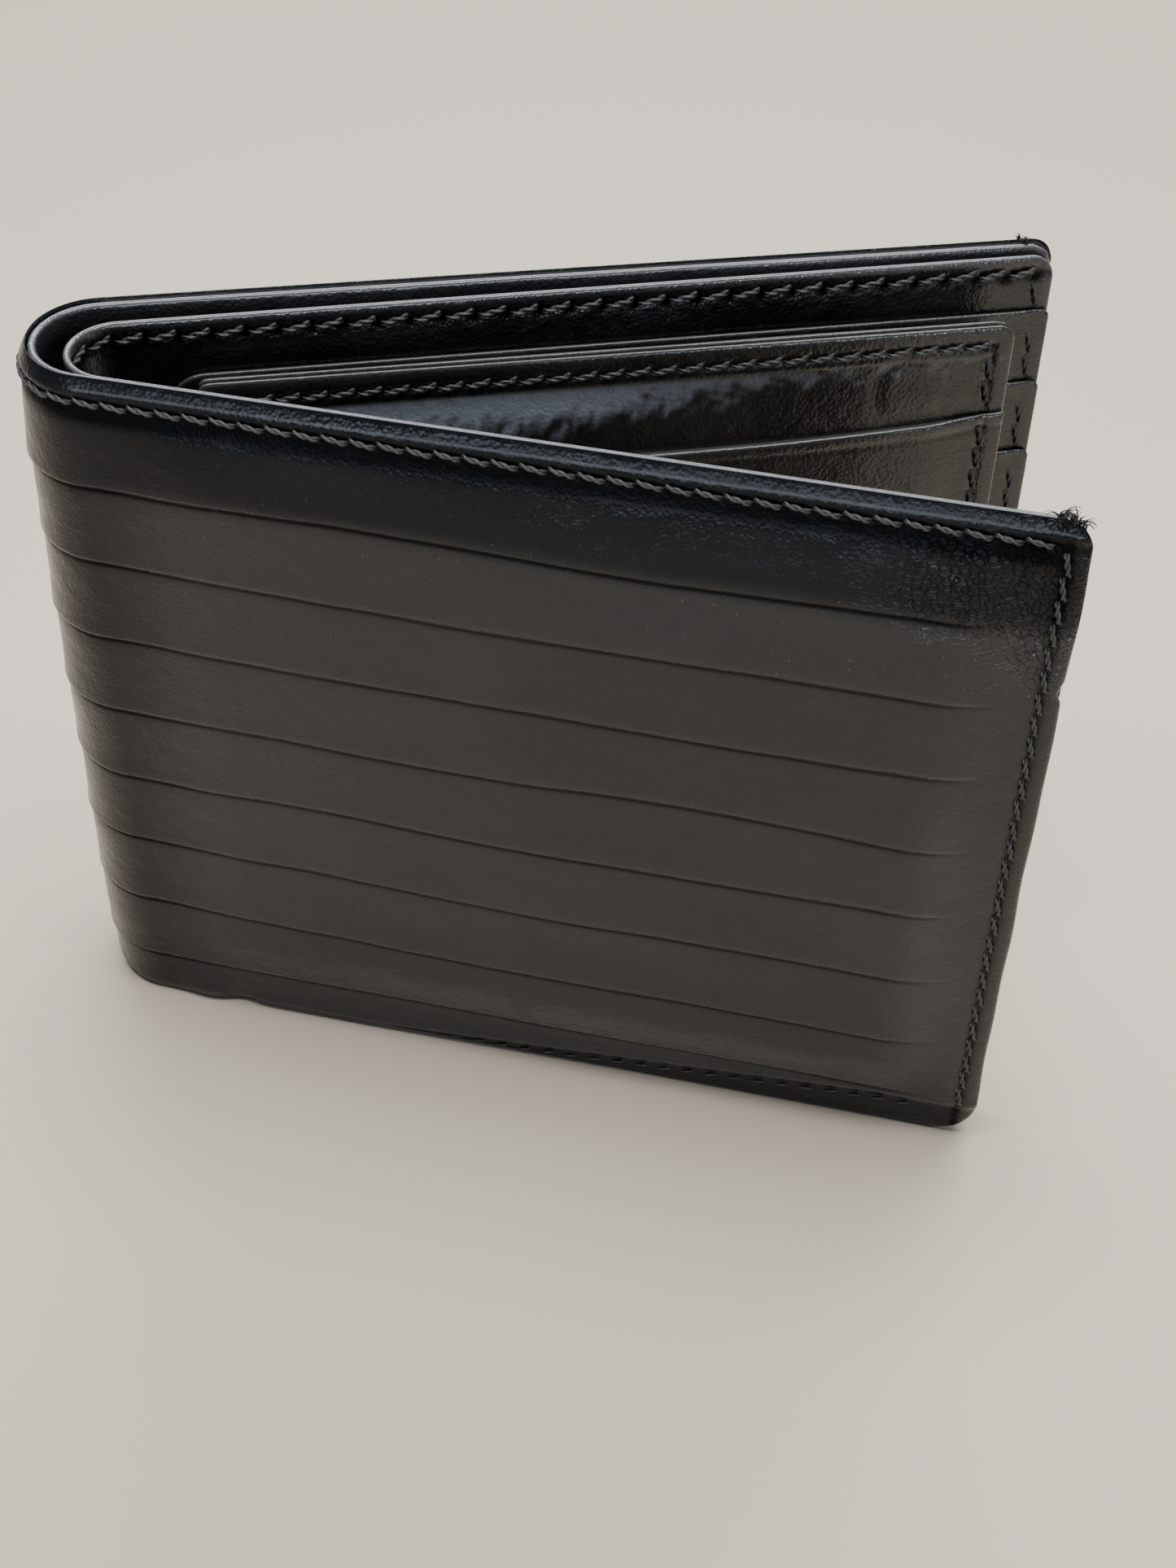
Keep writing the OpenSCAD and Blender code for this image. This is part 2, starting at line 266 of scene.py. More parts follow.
def leatherSheet(name, place, xs, zs, outer, inner, material, corners=None,
                 seamStart=False, rim=None, shiftX=None, shiftZ=None, follow=None, marks=None,
                 innerMarks=None, side=1):
    # A sheet with both faces and rounded rims. outer and inner give the faces' depths.
    corners = corners or {}
    x0, x1, z0, z1 = xs[0], xs[-1], zs[0], zs[-1]
    gx, gz = np.meshgrid(xs, zs, indexing="ij")
    edge = np.minimum(np.minimum(x1 - gx, gz - z0), z1 - gz)
    if not seamStart:
        edge = np.minimum(edge, gx - x0)
    px, pz = gx.copy(), gz.copy()
    if follow is not None:
        pz = pz + follow(px, pz)
    for where, radius in corners.items():
        cornerX, sx = (x1, 1) if "end" in where else (x0, -1)
        cornerZ, sz = (z1, 1) if "Top" in where else (z0, -1)
        px, pz = roundCorner(px, pz, cornerX, cornerZ, radius, sx, sz)
    if shiftX is not None:
        px = px + shiftX(px, pz)
    if shiftZ is not None:
        pz = pz + shiftZ(px, pz)
    outDepth = outer(px, pz) + 0 * px
    inDepth = inner(px, pz) + 0 * px
    half = (inDepth - outDepth) / 2
    rimSize = rim or 0.45
    near = np.clip(edge / rimSize, 0, 1)
    drop = half * (1 - np.sqrt(np.clip(1 - (1 - near) ** 2, 0, 1)))
    outPoints = place(px, pz, outDepth + drop).reshape(-1, 3)
    inPoints = place(px, pz, inDepth - drop).reshape(-1, 3)
    nx, nz = gx.shape
    outIndex = np.arange(nx * nz).reshape(nx, nz)
    border = np.zeros((nx, nz), bool)
    border[-1, :] = True
    border[:, 0] = True
    border[:, -1] = True
    if not seamStart:
        border[0, :] = True
    inIndex = np.full((nx, nz), -1)
    inIndex[border] = outIndex[border]
    free = ~border
    inIndex[free] = nx * nz + np.arange(int(free.sum()))
    points = np.vstack([outPoints, inPoints[free.reshape(-1)]])

    def quads(index, flip):
        a, b, c, d = index[:-1, :-1], index[1:, :-1], index[1:, 1:], index[:-1, 1:]
        order = (a, b, c, d) if flip else (a, d, c, b)
        return np.stack(order, -1).reshape(-1, 4)

    outwardFlip = side < 0
    faces = np.vstack([quads(outIndex, outwardFlip), quads(inIndex, not outwardFlip)])
    if seamStart:
        o, i = outIndex[0], inIndex[0]
        cap = np.stack([o[:-1], o[1:], i[1:], i[:-1]], -1).tolist()
        cap = [list(dict.fromkeys(q)) for q in cap if len(set(q)) >= 3]
        if side > 0:
            cap = [q[::-1] for q in cap]
    else:
        cap = []
    piece = meshObject(name, points, faces.tolist() + cap, material)
    mesh = piece.data
    count = len(points)
    flatX = np.concatenate([px.reshape(-1), px.reshape(-1)[free.reshape(-1)]])
    flatZ = np.concatenate([pz.reshape(-1), pz.reshape(-1)[free.reshape(-1)]])
    flatMap = mesh.uv_layers.new(name="flat")
    corner = np.empty(len(mesh.loops), np.int32)
    mesh.loops.foreach_get("vertex_index", corner)
    shift = 0.0 if side > 0 else 3.0
    uv = np.stack([flatX[corner] * uvScale + shift, flatZ[corner] * uvScale], -1)
    flatMap.data.foreach_set("uv", uv.reshape(-1).astype(np.float32))
    edgeAll = np.concatenate([edge.reshape(-1), edge.reshape(-1)[free.reshape(-1)]])
    isOuter = np.concatenate([np.ones(nx * nz), np.zeros(int(free.sum()))])
    layers = {"rim": np.exp(-edgeAll / 0.7)}
    for label, rule in (marks or {}).items():
        layers[label] = rule(flatX, flatZ) * isOuter
    for label, rule in (innerMarks or {}).items():
        layers[label] = rule(flatX, flatZ) * (1 - isOuter)
    for label, values in layers.items():
        attribute = mesh.attributes.new(label, "FLOAT", "POINT")
        attribute.data.foreach_set("value", values.astype(np.float32))
    if seamStart:
        # the two sheets that meet at the middle of the fold share their shading there
        normals = np.empty(count * 3, np.float32)
        mesh.vertex_normals.foreach_get("vector", normals)
        normals = normals.reshape(-1, 3)
        seam = np.concatenate([outIndex[0], inIndex[0]])
        normals[seam, 1] = 0
        flat = np.linalg.norm(normals[seam], axis=1, keepdims=True)
        normals[seam] = normals[seam] / np.maximum(flat, 1e-6)
        mesh.normals_split_custom_set_from_vertices([tuple(n) for n in normals])
    return piece


class MeshBuilder:
    # gathers small closed parts into one mesh
    def __init__(self):
        self.points = []
        self.faces = []

    def tube(self, rings, closedEnds=True):
        # rings is a list of equal loops of points
        base = len(self.points)
        n = len(rings[0])
        for ring in rings:
            self.points.extend(tuple(p) for p in ring)
        for r in range(len(rings) - 1):
            for k in range(n):
                a = base + r * n + k
                b = base + r * n + (k + 1) % n
                self.faces.append((a, b, b + n, a + n))
        if closedEnds:
            self.faces.append(tuple(base + k for k in reversed(range(n))))
            self.faces.append(tuple(base + (len(rings) - 1) * n + k for k in range(n)))

    def finish(self, name, material):
        piece = meshObject(name, self.points, self.faces, material)
        work = bmesh.new()
        work.from_mesh(piece.data)
        bmesh.ops.recalc_face_normals(work, faces=work.faces)
        work.to_mesh(piece.data)
        work.free()
        return piece


thread = {
    "pitch": 2.9,
    "length": 3.25,
    "radius": 0.19,
    "plyOffset": 0.16,
    "twists": 1.3,
    "slant": 12.0,  # degrees
    "proud": 0.22,
    "rings": 12,
    "sides": 6,
}


def sewStitch(builder, place, surface, x, z, upright, rise, scale=1.0, length=None, slant=None):
    # one two-ply stitch whose ends dive into their holes; rise is -1 on an outer face, 1 on an inner one
    reach = (length or thread["length"]) / 2
    lean = math.radians(thread["slant"] if slant is None else slant)
    heading = lean + (math.pi / 2 if upright else 0)
    across = (-math.sin(heading), math.cos(heading))
    t = np.linspace(-1, 1, thread["rings"])
    ring = np.arange(thread["sides"]) * 2 * math.pi / thread["sides"]
    for ply in (0, math.pi):
        spin = ply + t * math.pi * thread["twists"]
        taperEnds = 1 - 0.35 * np.abs(t) ** 5
        lift = thread["proud"] * scale * (1 - np.abs(t) ** 4) - 0.42 * np.abs(t) ** 8
        sideways = thread["plyOffset"] * scale * np.cos(spin)
        lift = lift + thread["plyOffset"] * scale * 0.8 * np.sin(spin)
        cx = x + t * reach * math.cos(heading) + sideways * across[0]
        cz = z + t * reach * math.sin(heading) + sideways * across[1]
        radius = thread["radius"] * scale * taperEnds
        rx = cx[:, None] + radius[:, None] * np.cos(ring)[None, :] * across[0]
        rz = cz[:, None] + radius[:, None] * np.cos(ring)[None, :] * across[1]
        base = surface(cx, cz) + rise * lift
        depth = base[:, None] + radius[:, None] * np.sin(ring)[None, :]
        builder.tube(list(place(rx, rz, depth)))


def sewRow(builder, place, surface, start, end, fixed, upright, rise, pitch=None, drift=None, **more):
    pitch = pitch or thread["pitch"]
    rng = random.Random(int(start * 10 + fixed * 7))
    position = start + pitch / 2
    while position <= end - pitch / 2 + 1e-6:
        wander = rng.uniform(-0.06, 0.06)
        x, z = (fixed + wander, position) if upright else (position, fixed + wander)
        if drift is not None:
            z = z + drift(x)
        sewStitch(builder, place, surface, x, z, upright, rise, **more)
        position += pitch


class NodeMaterial:
    # a Principled material with short calls for the nodes that feed it
    def __init__(self, name):
        self.material = bpy.data.materials.new(name)
        self.material.use_nodes = True
        self.tree = self.material.node_tree
        self.shader = self.tree.nodes["Principled BSDF"]

    def add(self, kind, inputs=None, **settings):
        node = self.tree.nodes.new(kind)
        for key, value in settings.items():
            setattr(node, key, value)
        for key, value in (inputs or {}).items():
            self.feed(node.inputs[key], value)
        return node

    def feed(self, socket, value):
        if isinstance(value, bpy.types.NodeSocket):
            self.tree.links.new(value, socket)
        else:
            socket.default_value = value

    def math(self, operation, a, b=0.0, c=0.0):
        node = self.add("ShaderNodeMath", operation=operation)
        for socket, value in zip(node.inputs, (a, b, c)):
            self.feed(socket, value)
        return node.outputs[0]

    def ramp(self, value, low, high, outLow=0.0, outHigh=1.0):
        node = self.add("ShaderNodeMapRange", interpolation_type="SMOOTHSTEP")
        for key, v in zip(("Value", "From Min", "From Max", "To Min", "To Max"),
                          (value, low, high, outLow, outHigh)):
            self.feed(node.inputs[key], v)
        return node.outputs[0]

    def mixColour(self, factor, first, second):
        node = self.add("ShaderNodeMix", data_type="RGBA")
        self.feed(node.inputs[0], factor)
        self.feed(node.inputs[6], first)
        self.feed(node.inputs[7], second)
        return node.outputs[2]

    def noise(self, vector, scale, detail=2.0, roughness=0.5, distortion=0.0):
        node = self.add("ShaderNodeTexNoise", {"Vector": vector, "Scale": scale, "Detail": detail,
                                               "Roughness": roughness, "Distortion": distortion})
        return node.outputs["Fac"]

    def mark(self, label):
        return self.add("ShaderNodeAttribute", attribute_name=label).outputs["Fac"]

    def flatMap(self, stretch=(1.0, 1.0, 1.0)):
        source = self.add("ShaderNodeUVMap", uv_map="flat").outputs[0]
        return self.add("ShaderNodeMapping", {"Vector": source, "Scale": stretch}).outputs[0]

    def bump(self, height, distance, strength=1.0, normal=None):
        node = self.add("ShaderNodeBump", {"Height": height, "Distance": distance, "Strength": strength})
        if normal is not None:
            self.feed(node.inputs["Normal"], normal)
        return node.outputs[0]


coverFinish = {  # base colours, roughness where glossy and where smeared, coat and specular weights
    "dark": (0.0062, 0.0072, 0.0105, 1),
    "worn": (0.0145, 0.0155, 0.0185, 1),
    # painted shade colour, bluish black, for creases, seams, the fold and the upper panel
    "paintedShade": (0.0014, 0.0022, 0.0042, 1),
    # painted highlight colour for the line just above each crease
    "paintedRidgeHighlight": (0.040, 0.037, 0.034, 1),
    # lighter bluish colour for the wiped, hazy polish and for the painted highlight band inside the free edge
    "hazeAndHighlight": (0.023, 0.026, 0.034, 1),
    "dust": (0.16, 0.15, 0.14, 1),
    "gloss": 0.22,
    "smear": 0.40,
    "coat": 0.28,
    "shine": 0.40,
}


def leatherMaterial(name, look):
    # polished leather: worn clouds, hazy wipes with a painted highlight band, painted black shade in the
    # creases, seams and fold, a painted highlight line above each crease, dust in raised pores, cracked patch
    m = NodeMaterial(name)
    flat = m.flatMap()
    streaked = m.flatMap((0.35, 1.6, 1.0))
    cloud = m.noise(flat, 5.0, 4.0, 0.55)
    wipe = m.noise(streaked, 9.0, 5.0, 0.6, 0.4)
    fine = m.noise(flat, 420.0, 2.0)
    rim = m.mark("rim")
    paintedShade = m.mark("paintedShade")
    smearMask = m.mark("smear")
    crackleMask = m.mark("crackle")
    worn = m.math("MULTIPLY", m.ramp(cloud, 0.42, 0.72), 0.7)
    colour = m.mixColour(worn, look["dark"], look["worn"])
    # hazy wipes low on the face, plus a painted highlight band inside the free edge
    hazeAndHighlight = m.math("MULTIPLY", m.mark("hazeAndHighlight"), m.ramp(wipe, 0.3, 0.7, 0.45, 1.0))
    colour = m.mixColour(hazeAndHighlight, colour, look["hazeAndHighlight"])
    # painted highlight: a lighter line along the top of each crease
    colour = m.mixColour(m.math("MULTIPLY", m.mark("paintedRidgeHighlight"), 0.6), colour, look["paintedRidgeHighlight"])
    # painted shade: creases, seams, the lower strip, the fold and the upper panel turn bluish black
    colour = m.mixColour(m.math("MULTIPLY", paintedShade, 0.75), colour, look["paintedShade"])
    speck = m.add("ShaderNodeTexVoronoi", {"Vector": flat, "Scale": 95.0}, feature="F1")
    rare = m.math("GREATER_THAN", m.add("ShaderNodeSeparateColor",
                                        {0: speck.outputs["Color"]}).outputs[0], 0.972)
    dot = m.math("MULTIPLY", m.math("LESS_THAN", speck.outputs["Distance"], 0.09), rare)
    colour = m.mixColour(m.math("MULTIPLY", dot, 0.5), colour, look["dust"])
    rough = m.ramp(wipe, 0.35, 0.75, look["gloss"] - 0.05, look["gloss"] + 0.10)
    rough = m.math("ADD", rough, m.math("MULTIPLY", smearMask, look["smear"] - look["gloss"]))
    rough = m.math("ADD", rough, m.math("MULTIPLY", paintedShade, 0.15))
    rough = m.math("SUBTRACT", rough, m.math("MULTIPLY", rim, 0.06))
    rough = m.math("ADD", rough, m.math("MULTIPLY", m.math("SUBTRACT", fine, 0.5), 0.12))
    m.feed(m.shader.inputs["Roughness"], rough)
    shade = m.math("SUBTRACT", 1.0, m.math("MULTIPLY", paintedShade, 0.9))
    m.feed(m.shader.inputs["Coat Weight"], m.math("MULTIPLY", shade, look["coat"]))
    m.shader.inputs["Specular IOR Level"].default_value = look["shine"]
    m.feed(m.shader.inputs["Specular IOR Level"], m.math("MULTIPLY", shade, look["shine"]))
    m.shader.inputs["Coat Roughness"].default_value = 0.09
    normal = m.bump(m.noise(flat, 34.0, 3.0), 0.0006, 0.35)
    pores = m.add("ShaderNodeTexVoronoi", {"Vector": flat, "Scale": 260.0}, feature="F1")
    normal = m.bump(pores.outputs["Distance"], 0.00012, 0.35, normal)
    dots = m.add("ShaderNodeTexVoronoi", {"Vector": flat, "Scale": 88.0}, feature="F1")
    some = m.math("GREATER_THAN", m.add("ShaderNodeSeparateColor",
                                        {0: dots.outputs["Color"]}).outputs[1], 0.45)
    raised = m.ramp(dots.outputs["Distance"], 0.07, 0.19, 1.0, 0.0)
    raised = m.math("MULTIPLY", m.math("MULTIPLY", raised, some), m.mark("pimple"))
    normal = m.bump(raised, 0.00010, 0.7, normal)
    colour = m.mixColour(m.math("MULTIPLY", raised, 0.16), colour, look["dust"])
    m.feed(m.shader.inputs["Base Color"], colour)
    cells = m.add("ShaderNodeTexVoronoi", {"Vector": m.flatMap((1.0, 1.35, 1.0)), "Scale": 120.0},
                  feature="DISTANCE_TO_EDGE")
    crack = m.math("MULTIPLY", m.ramp(cells.outputs["Distance"], 0.0, 0.14, 0.0, 1.0), crackleMask)
    normal = m.bump(crack, 0.00035, 1.0, normal)
    m.feed(m.shader.inputs["Normal"], normal)
    return m.material


# painted shade colour
paintedShadeBlack = (0.002, 0.002, 0.002, 1)


def plainLeather(name, look):
    # smooth inner leather: fine grain, a painted highlight toward the rims, a painted sheen patch, painted
    # shade in stitch holes, soft wipes
    m = NodeMaterial(name)
    flat = m.flatMap()
    cloud = m.noise(flat, 6.0, 4.0, 0.6)
    mottle = m.noise(flat, 60.0, 3.0, 0.7)
    rim = m.mark("rim")
    paintedSheen = m.mark("paintedSheen")
    paintedShade = m.mark("paintedShade")
    colour = m.mixColour(m.ramp(cloud, 0.4, 0.7), look["dark"], look["worn"])
    # painted highlight: lighter toward the rims
    colour = m.mixColour(m.math("MULTIPLY", rim, 0.7), colour, look["edge"])
    # painted sheen: a light bluish patch
    colour = m.mixColour(m.math("MULTIPLY", paintedSheen, 0.85), colour, look["paintedSheenLight"])
    # painted shade: seam lines and stitch holes turn black
    colour = m.mixColour(m.math("MULTIPLY", paintedShade, 0.85), colour, paintedShadeBlack)
    m.feed(m.shader.inputs["Base Color"], colour)
    rough = m.ramp(m.math("ADD", m.math("MULTIPLY", cloud, 0.6), m.math("MULTIPLY", mottle, 0.4)),
                   0.4, 0.62, look["gloss"], look["matte"])
    rough = m.math("SUBTRACT", rough, m.math("MULTIPLY", rim, 0.10))
    rough = m.math("ADD", rough, m.math("MULTIPLY", paintedSheen, 0.14))
    m.feed(m.shader.inputs["Roughness"], rough)
    shade = m.math("SUBTRACT", 1.0, m.math("MULTIPLY", paintedShade, 0.9))
    m.feed(m.shader.inputs["Coat Weight"], m.math("MULTIPLY", shade, look["coat"]))
    m.feed(m.shader.inputs["Specular IOR Level"], m.math("MULTIPLY", shade, 0.5))
    m.shader.inputs["Coat Roughness"].default_value = 0.12
    normal = m.bump(m.noise(flat, 40.0, 3.0), 0.0005, 0.3)
    pores = m.add("ShaderNodeTexVoronoi", {"Vector": flat, "Scale": 230.0}, feature="F1")
    normal = m.bump(pores.outputs["Distance"], 0.00014, 0.4, normal)
    m.feed(m.shader.inputs["Normal"], normal)
    return m.material


def threadMaterial():
    m = NodeMaterial("waxedThread")
    place = m.add("ShaderNodeTexCoord").outputs["Object"]
    fibre = m.noise(place, 9000.0, 2.0)
    colour = m.mixColour(m.ramp(fibre, 0.35, 0.65), (0.020, 0.020, 0.021, 1), (0.105, 0.103, 0.105, 1))
    m.feed(m.shader.inputs["Base Color"], colour)
    m.feed(m.shader.inputs["Roughness"], m.ramp(fibre, 0.3, 0.7, 0.32, 0.5))
    m.feed(m.shader.inputs["Normal"], m.bump(fibre, 0.00006, 0.6))
    return m.material


def boardMaterial():
    m = NodeMaterial("bondedBoard")
    place = m.add("ShaderNodeTexCoord").outputs["Object"]
    fleck = m.noise(place, 1400.0, 4.0, 0.7)
    m.feed(m.shader.inputs["Base Color"],
           m.mixColour(m.ramp(fleck, 0.35, 0.7), (0.05, 0.046, 0.04, 1), (0.16, 0.145, 0.12, 1)))
    m.feed(m.shader.inputs["Roughness"], m.ramp(fleck, 0.3, 0.7, 0.75, 0.92))
    m.feed(m.shader.inputs["Normal"], m.bump(fleck, 0.00012, 0.5))
    return m.material


def fabricMaterial():
    m = NodeMaterial("pocketWeave")
    place = m.add("ShaderNodeTexCoord").outputs["Object"]
    warp = m.add("ShaderNodeTexWave", {"Vector": place, "Scale": 900.0}, bands_direction="X")
    weft = m.add("ShaderNodeTexWave", {"Vector": place, "Scale": 900.0}, bands_direction="Z")
    weave = m.math("MULTIPLY", warp.outputs["Fac"], weft.outputs["Fac"])
    m.feed(m.shader.inputs["Base Color"],
           m.mixColour(weave, (0.012, 0.012, 0.014, 1), (0.045, 0.045, 0.05, 1)))
    m.feed(m.shader.inputs["Roughness"], m.ramp(weave, 0.0, 1.0, 0.95, 0.8))
    m.feed(m.shader.inputs["Normal"], m.bump(weave, 0.0001, 0.6))
    return m.material


def hemMaterial():
    m = NodeMaterial("hemLeather")
    place = m.add("ShaderNodeTexCoord").outputs["Object"]
    grain = m.noise(place, 600.0, 3.0)
    m.feed(m.shader.inputs["Base Color"],
           m.mixColour(grain, (0.006, 0.006, 0.006, 1), (0.016, 0.015, 0.015, 1)))
    m.feed(m.shader.inputs["Roughness"], m.ramp(grain, 0.3, 0.7, 0.4, 0.6))
    m.feed(m.shader.inputs["Normal"], m.bump(grain, 0.0001, 0.5))
    return m.material


coverMaterial = leatherMaterial("polishedLeather", coverFinish)
# the edge colour is a painted rim highlight
liningMaterial = plainLeather("liningLeather", {
    "dark": (0.008, 0.008, 0.0095, 1), "worn": (0.018, 0.017, 0.018, 1),
    "paintedSheenLight": (0.03, 0.03, 0.034, 1), "edge": (0.16, 0.16, 0.17, 1),
    "gloss": 0.22, "matte": 0.36, "coat": 0.30})
# the edge colour is a painted rim highlight; the light bluish colour is a painted sheen
slotMaterial = plainLeather("slotLeather", {
    "dark": (0.010, 0.0095, 0.0095, 1), "worn": (0.026, 0.024, 0.023, 1),
    "paintedSheenLight": (0.40, 0.45, 0.55, 1), "edge": (0.07, 0.068, 0.066, 1),
    "gloss": 0.22, "matte": 0.40, "coat": 0.25})
stitchMaterial = threadMaterial()
board = boardMaterial()
weave = fabricMaterial()
hem = hemMaterial()
print("materials made")

cover = {
    "runStep": 0.5,
    "rowStep": 0.85,
    "creaseTop": 77.4,
    "creasePitch": 10.14,
    "creaseCount": 8,
    "creaseStep": 0.30,  # each pressed band stands proud of the one below it
    "creaseFall": 0.55,  # height of the short face under each pressed band
    "creaseWave": 0.35,
    "pad": 1.8,  # how far the padding swells
    "padEase": 13.0,  # the padding swells over this height below the upper seam
    "roll": 0.74,  # how far the turned upper edge rolls over
    "rollHeight": 2.1,
    "sideRoll": 0.35,
    "lowRoll": 0.40,
    "otherRollWidth": 1.6,
    "topSeam": 2.6,  # from the upper edge
    "topSeamDepth": 0.17,
    "topHoleDepth": 0.16,
    "sideSeam": 2.1,  # from the free edge
    "sideStart": 5.5,  # the free edge's stitches start this far up
    "sideSeamDepth": 0.24,
    "sideHoleDepth": 0.20,
    "stripDrop": 0.30,  # the lower strip lies this much behind the face
    "foldLift": 2.2,  # rise of the lower edge at the middle of the fold
    "topCorner": 3.0,
    "lowCorner": 5.5,
}


def creaseFade(x, z, end):
    # the pressed lines die away before the free edge and the upper seam
    return smooth((end - x - 4.5) / 10) * smooth((coverHeight - z - 4) / 4)


def creaseHeight(i, x, side):
    level = cover["creaseTop"] - i * cover["creasePitch"]
    return level, cover["creaseWave"] * ripple(side * x, 0 * x + 40 * i, 55, 11 + i)


def coverRows():
    # rows of the cover's grid crowd together at the rims, seams and creases
    nearCrease = (-1.5, -0.9, -0.5, -0.25, -0.08, 0.08, 0.2, 0.32, 0.44, 0.6, 0.85, 1.3)
    rows = list(np.arange(1.05, 5.4, 0.36)) + list(np.arange(84.4, coverHeight - 0.9, 0.27))
    for i in range(cover["creaseCount"]):
        level = creaseHeight(i, np.zeros(1), 1)[0]
        rows += [level + near for near in nearCrease]
    for z in np.arange(5.5, 84.4, cover["rowStep"]):
        if min(abs(z - row) for row in rows) > 0.55 * cover["rowStep"]:
            rows.append(z)
    rows = sorted(rows)
    kept = [rows[0]]
    for row in rows[1:]:
        if row - kept[-1] > 0.07:
            kept.append(row)
    return np.array(rimSteps + kept + [coverHeight - r for r in reversed(rimSteps)])


def followCreases(side):
    def follow(x, z):
        shift = np.zeros(np.shape(z))
        for i in range(cover["creaseCount"]):
            level, wave = creaseHeight(i, x, side)
            shift = shift + wave * bell(z - level, 2.4)
        return shift

    return follow


def stitchHoles(position, pitch, width):
    # one at each end of every stitch in a row
    off = (position / pitch + 0.5) % 1 - 0.5
    return bell(off * pitch, width)


def lowLine(run):
    # the lower turned edge shows as a strip that widens toward the free end
    return np.clip(1.2 + 0.07 * (run - 32), 0.9, 5.2)


def coverRelief(side):
    # how far the outer face stands out, over flat leather
    bend = coverPath(side)[1]
    end = bend + lengths[side]

    def relief(x, z):
        q = side * x
        fromEnd = end - x
        fromTop = coverHeight - z
        ease = cover["padEase"] * (0.55 + 0.45 * smooth((x - bend - 5) / 55))
        rise = 1 - (1 - np.clip((fromTop - cover["topSeam"] - 0.6) / ease, 0, 1)) ** 2
        rise = rise * smooth((fromTop - cover["topSeam"] - 0.2) / 2.5)
        pad = smooth((z - 4.4) / 9) * rise * smooth((fromEnd - cover["sideSeam"] - 0.4) / 10)
        amount = ease / cover["padEase"] * (0.4 + 0.6 * smooth((x - bend) / 14))
        raised = cover["pad"] * pad * amount
        fade = creaseFade(x, z, end)
        for i in range(cover["creaseCount"]):
            level, wave = creaseHeight(i, x, side)
            off = z - level - wave
            strength = fade * (0.8 + 0.3 * ripple(q, 0 * z + 9 * i, 40, 31 + i))
            climb = smooth(off / cover["creaseFall"])
            above = climb * np.exp(-np.clip(off - cover["creaseFall"], 0, None) / 2.4)
            below = -0.45 * (1 - climb) * np.exp(np.clip(off, None, 0) / 0.8)
            raised = raised + cover["creaseStep"] * strength * (above + below)
        raised = raised + 0.10 * pad * ripple(q, z, 38, 3) + 0.05 * pad * ripple(q, z, 14, 4)
        # the turned edges roll over
        raised = raised - cover["roll"] * np.clip(1 - fromTop / cover["rollHeight"], 0, 1) ** 1.5
        raised = raised + 0.12 * bell(fromTop - 1.7, 0.7)
        raised = raised - cover["sideRoll"] * np.clip(1 - fromEnd / cover["otherRollWidth"], 0, 1) ** 2
        raised = raised - cover["lowRoll"] * np.clip(1 - z / cover["otherRollWidth"], 0, 1) ** 2
        # the seams draw the leather in, and each stitch leaves a hole at its end
        topOff = fromTop - cover["topSeam"]
        raised = raised - cover["topSeamDepth"] * bell(topOff, 0.7)
        holes = stitchHoles(x, thread["pitch"], 0.5)
        raised = raised - cover["topHoleDepth"] * bell(topOff, 0.5) * holes
        sideOff = fromEnd - cover["sideSeam"]
        inSide = smooth((z - 4) / 2) * smooth((fromTop - 3.4) / 1.5)
        upright = stitchHoles(z - cover["sideStart"], thread["pitch"], 0.5)
        drawn = cover["sideSeamDepth"] * bell(sideOff, 0.6)
        drawn = drawn + cover["sideHoleDepth"] * bell(sideOff, 0.5) * upright
        raised = raised - drawn * inSide
        inLow = smooth((x - bend - 9) / 4)
        strip = lowLine(x - bend)
        raised = raised - cover["stripDrop"] * inLow * smooth((strip - z) / 0.7)
        raised = raised + 0.20 * inLow * bell(z - strip - 0.6, 0.6)
        # a soft dent and a swelling where the lower seam stops short of the fold
        raised = raised + 0.55 * bell(x - bend - 6.5, 3.2) * bell(z - 2.0, 2.6)
        raised = raised - 0.45 * bell(x - bend - 10.5, 2.0) * bell(z - 1.0, 2.2)
        # worn, crackled leather near the upper free corner
        patch = crackle(side)(x, z)
        raised = raised + patch * (0.08 * ripple(q, z, 2.2, 5) + 0.07 * ripple(q, z, 1.1, 6))
        return raised

    return relief


def crackle(side):
    bend = coverPath(side)[1]
    end = bend + lengths[side]

    def mask(x, z):
        spread = bell(end - x - 10, 6.5) * bell(z - 81.5, 4.2)
        spread = spread + 0.8 * bell(end - x - 3.5, 3.0) * bell(z - 81, 8.0)
        return np.clip(spread * (1.1 + 0.6 * ripple(x, z, 5, 7)), 0, 1)

    return mask


# painted shade mask: dark lines in the creases, along the seams and the lower strip, over the fold and below
# the upper seam
def paintedShadeMark(side):
    bend = coverPath(side)[1]
    end = bend + lengths[side]

    def mark(x, z):
        total = np.zeros(np.shape(x))
        fade = creaseFade(x, z, end)
        for i in range(cover["creaseCount"]):
            level, wave = creaseHeight(i, x, side)
            total = total + 0.8 * bell(z - level - wave + 0.08, 0.28) * fade
        inSeam = smooth((end - x - 1.4) / 0.9)
        total = total + 0.9 * inSeam * bell(coverHeight - z - cover["topSeam"] - 0.9, 1.25)
        total = total + 0.8 * bell(end - x - cover["sideSeam"], 0.5) * smooth((coverHeight - z - 1.8) / 1)
        strip = lowLine(x - bend)
        total = total + 0.5 * inSeam * smooth((x - bend - 9) / 4) * smooth((strip + 0.2 - z) / 0.8)
        # painted shade: the fold and the curve below the upper seam are painted deep black
        total = total + 0.38 * smooth((bend + 12 - x) / 12) * (1 - 0.6 * bell(x - 0.55 * bend, 3.0))
        total = total + 0.64 * smooth((z - 75.5) / 4) * smooth((x - bend + 6) / 20)
        return np.clip(total, 0, 1)

    return mark


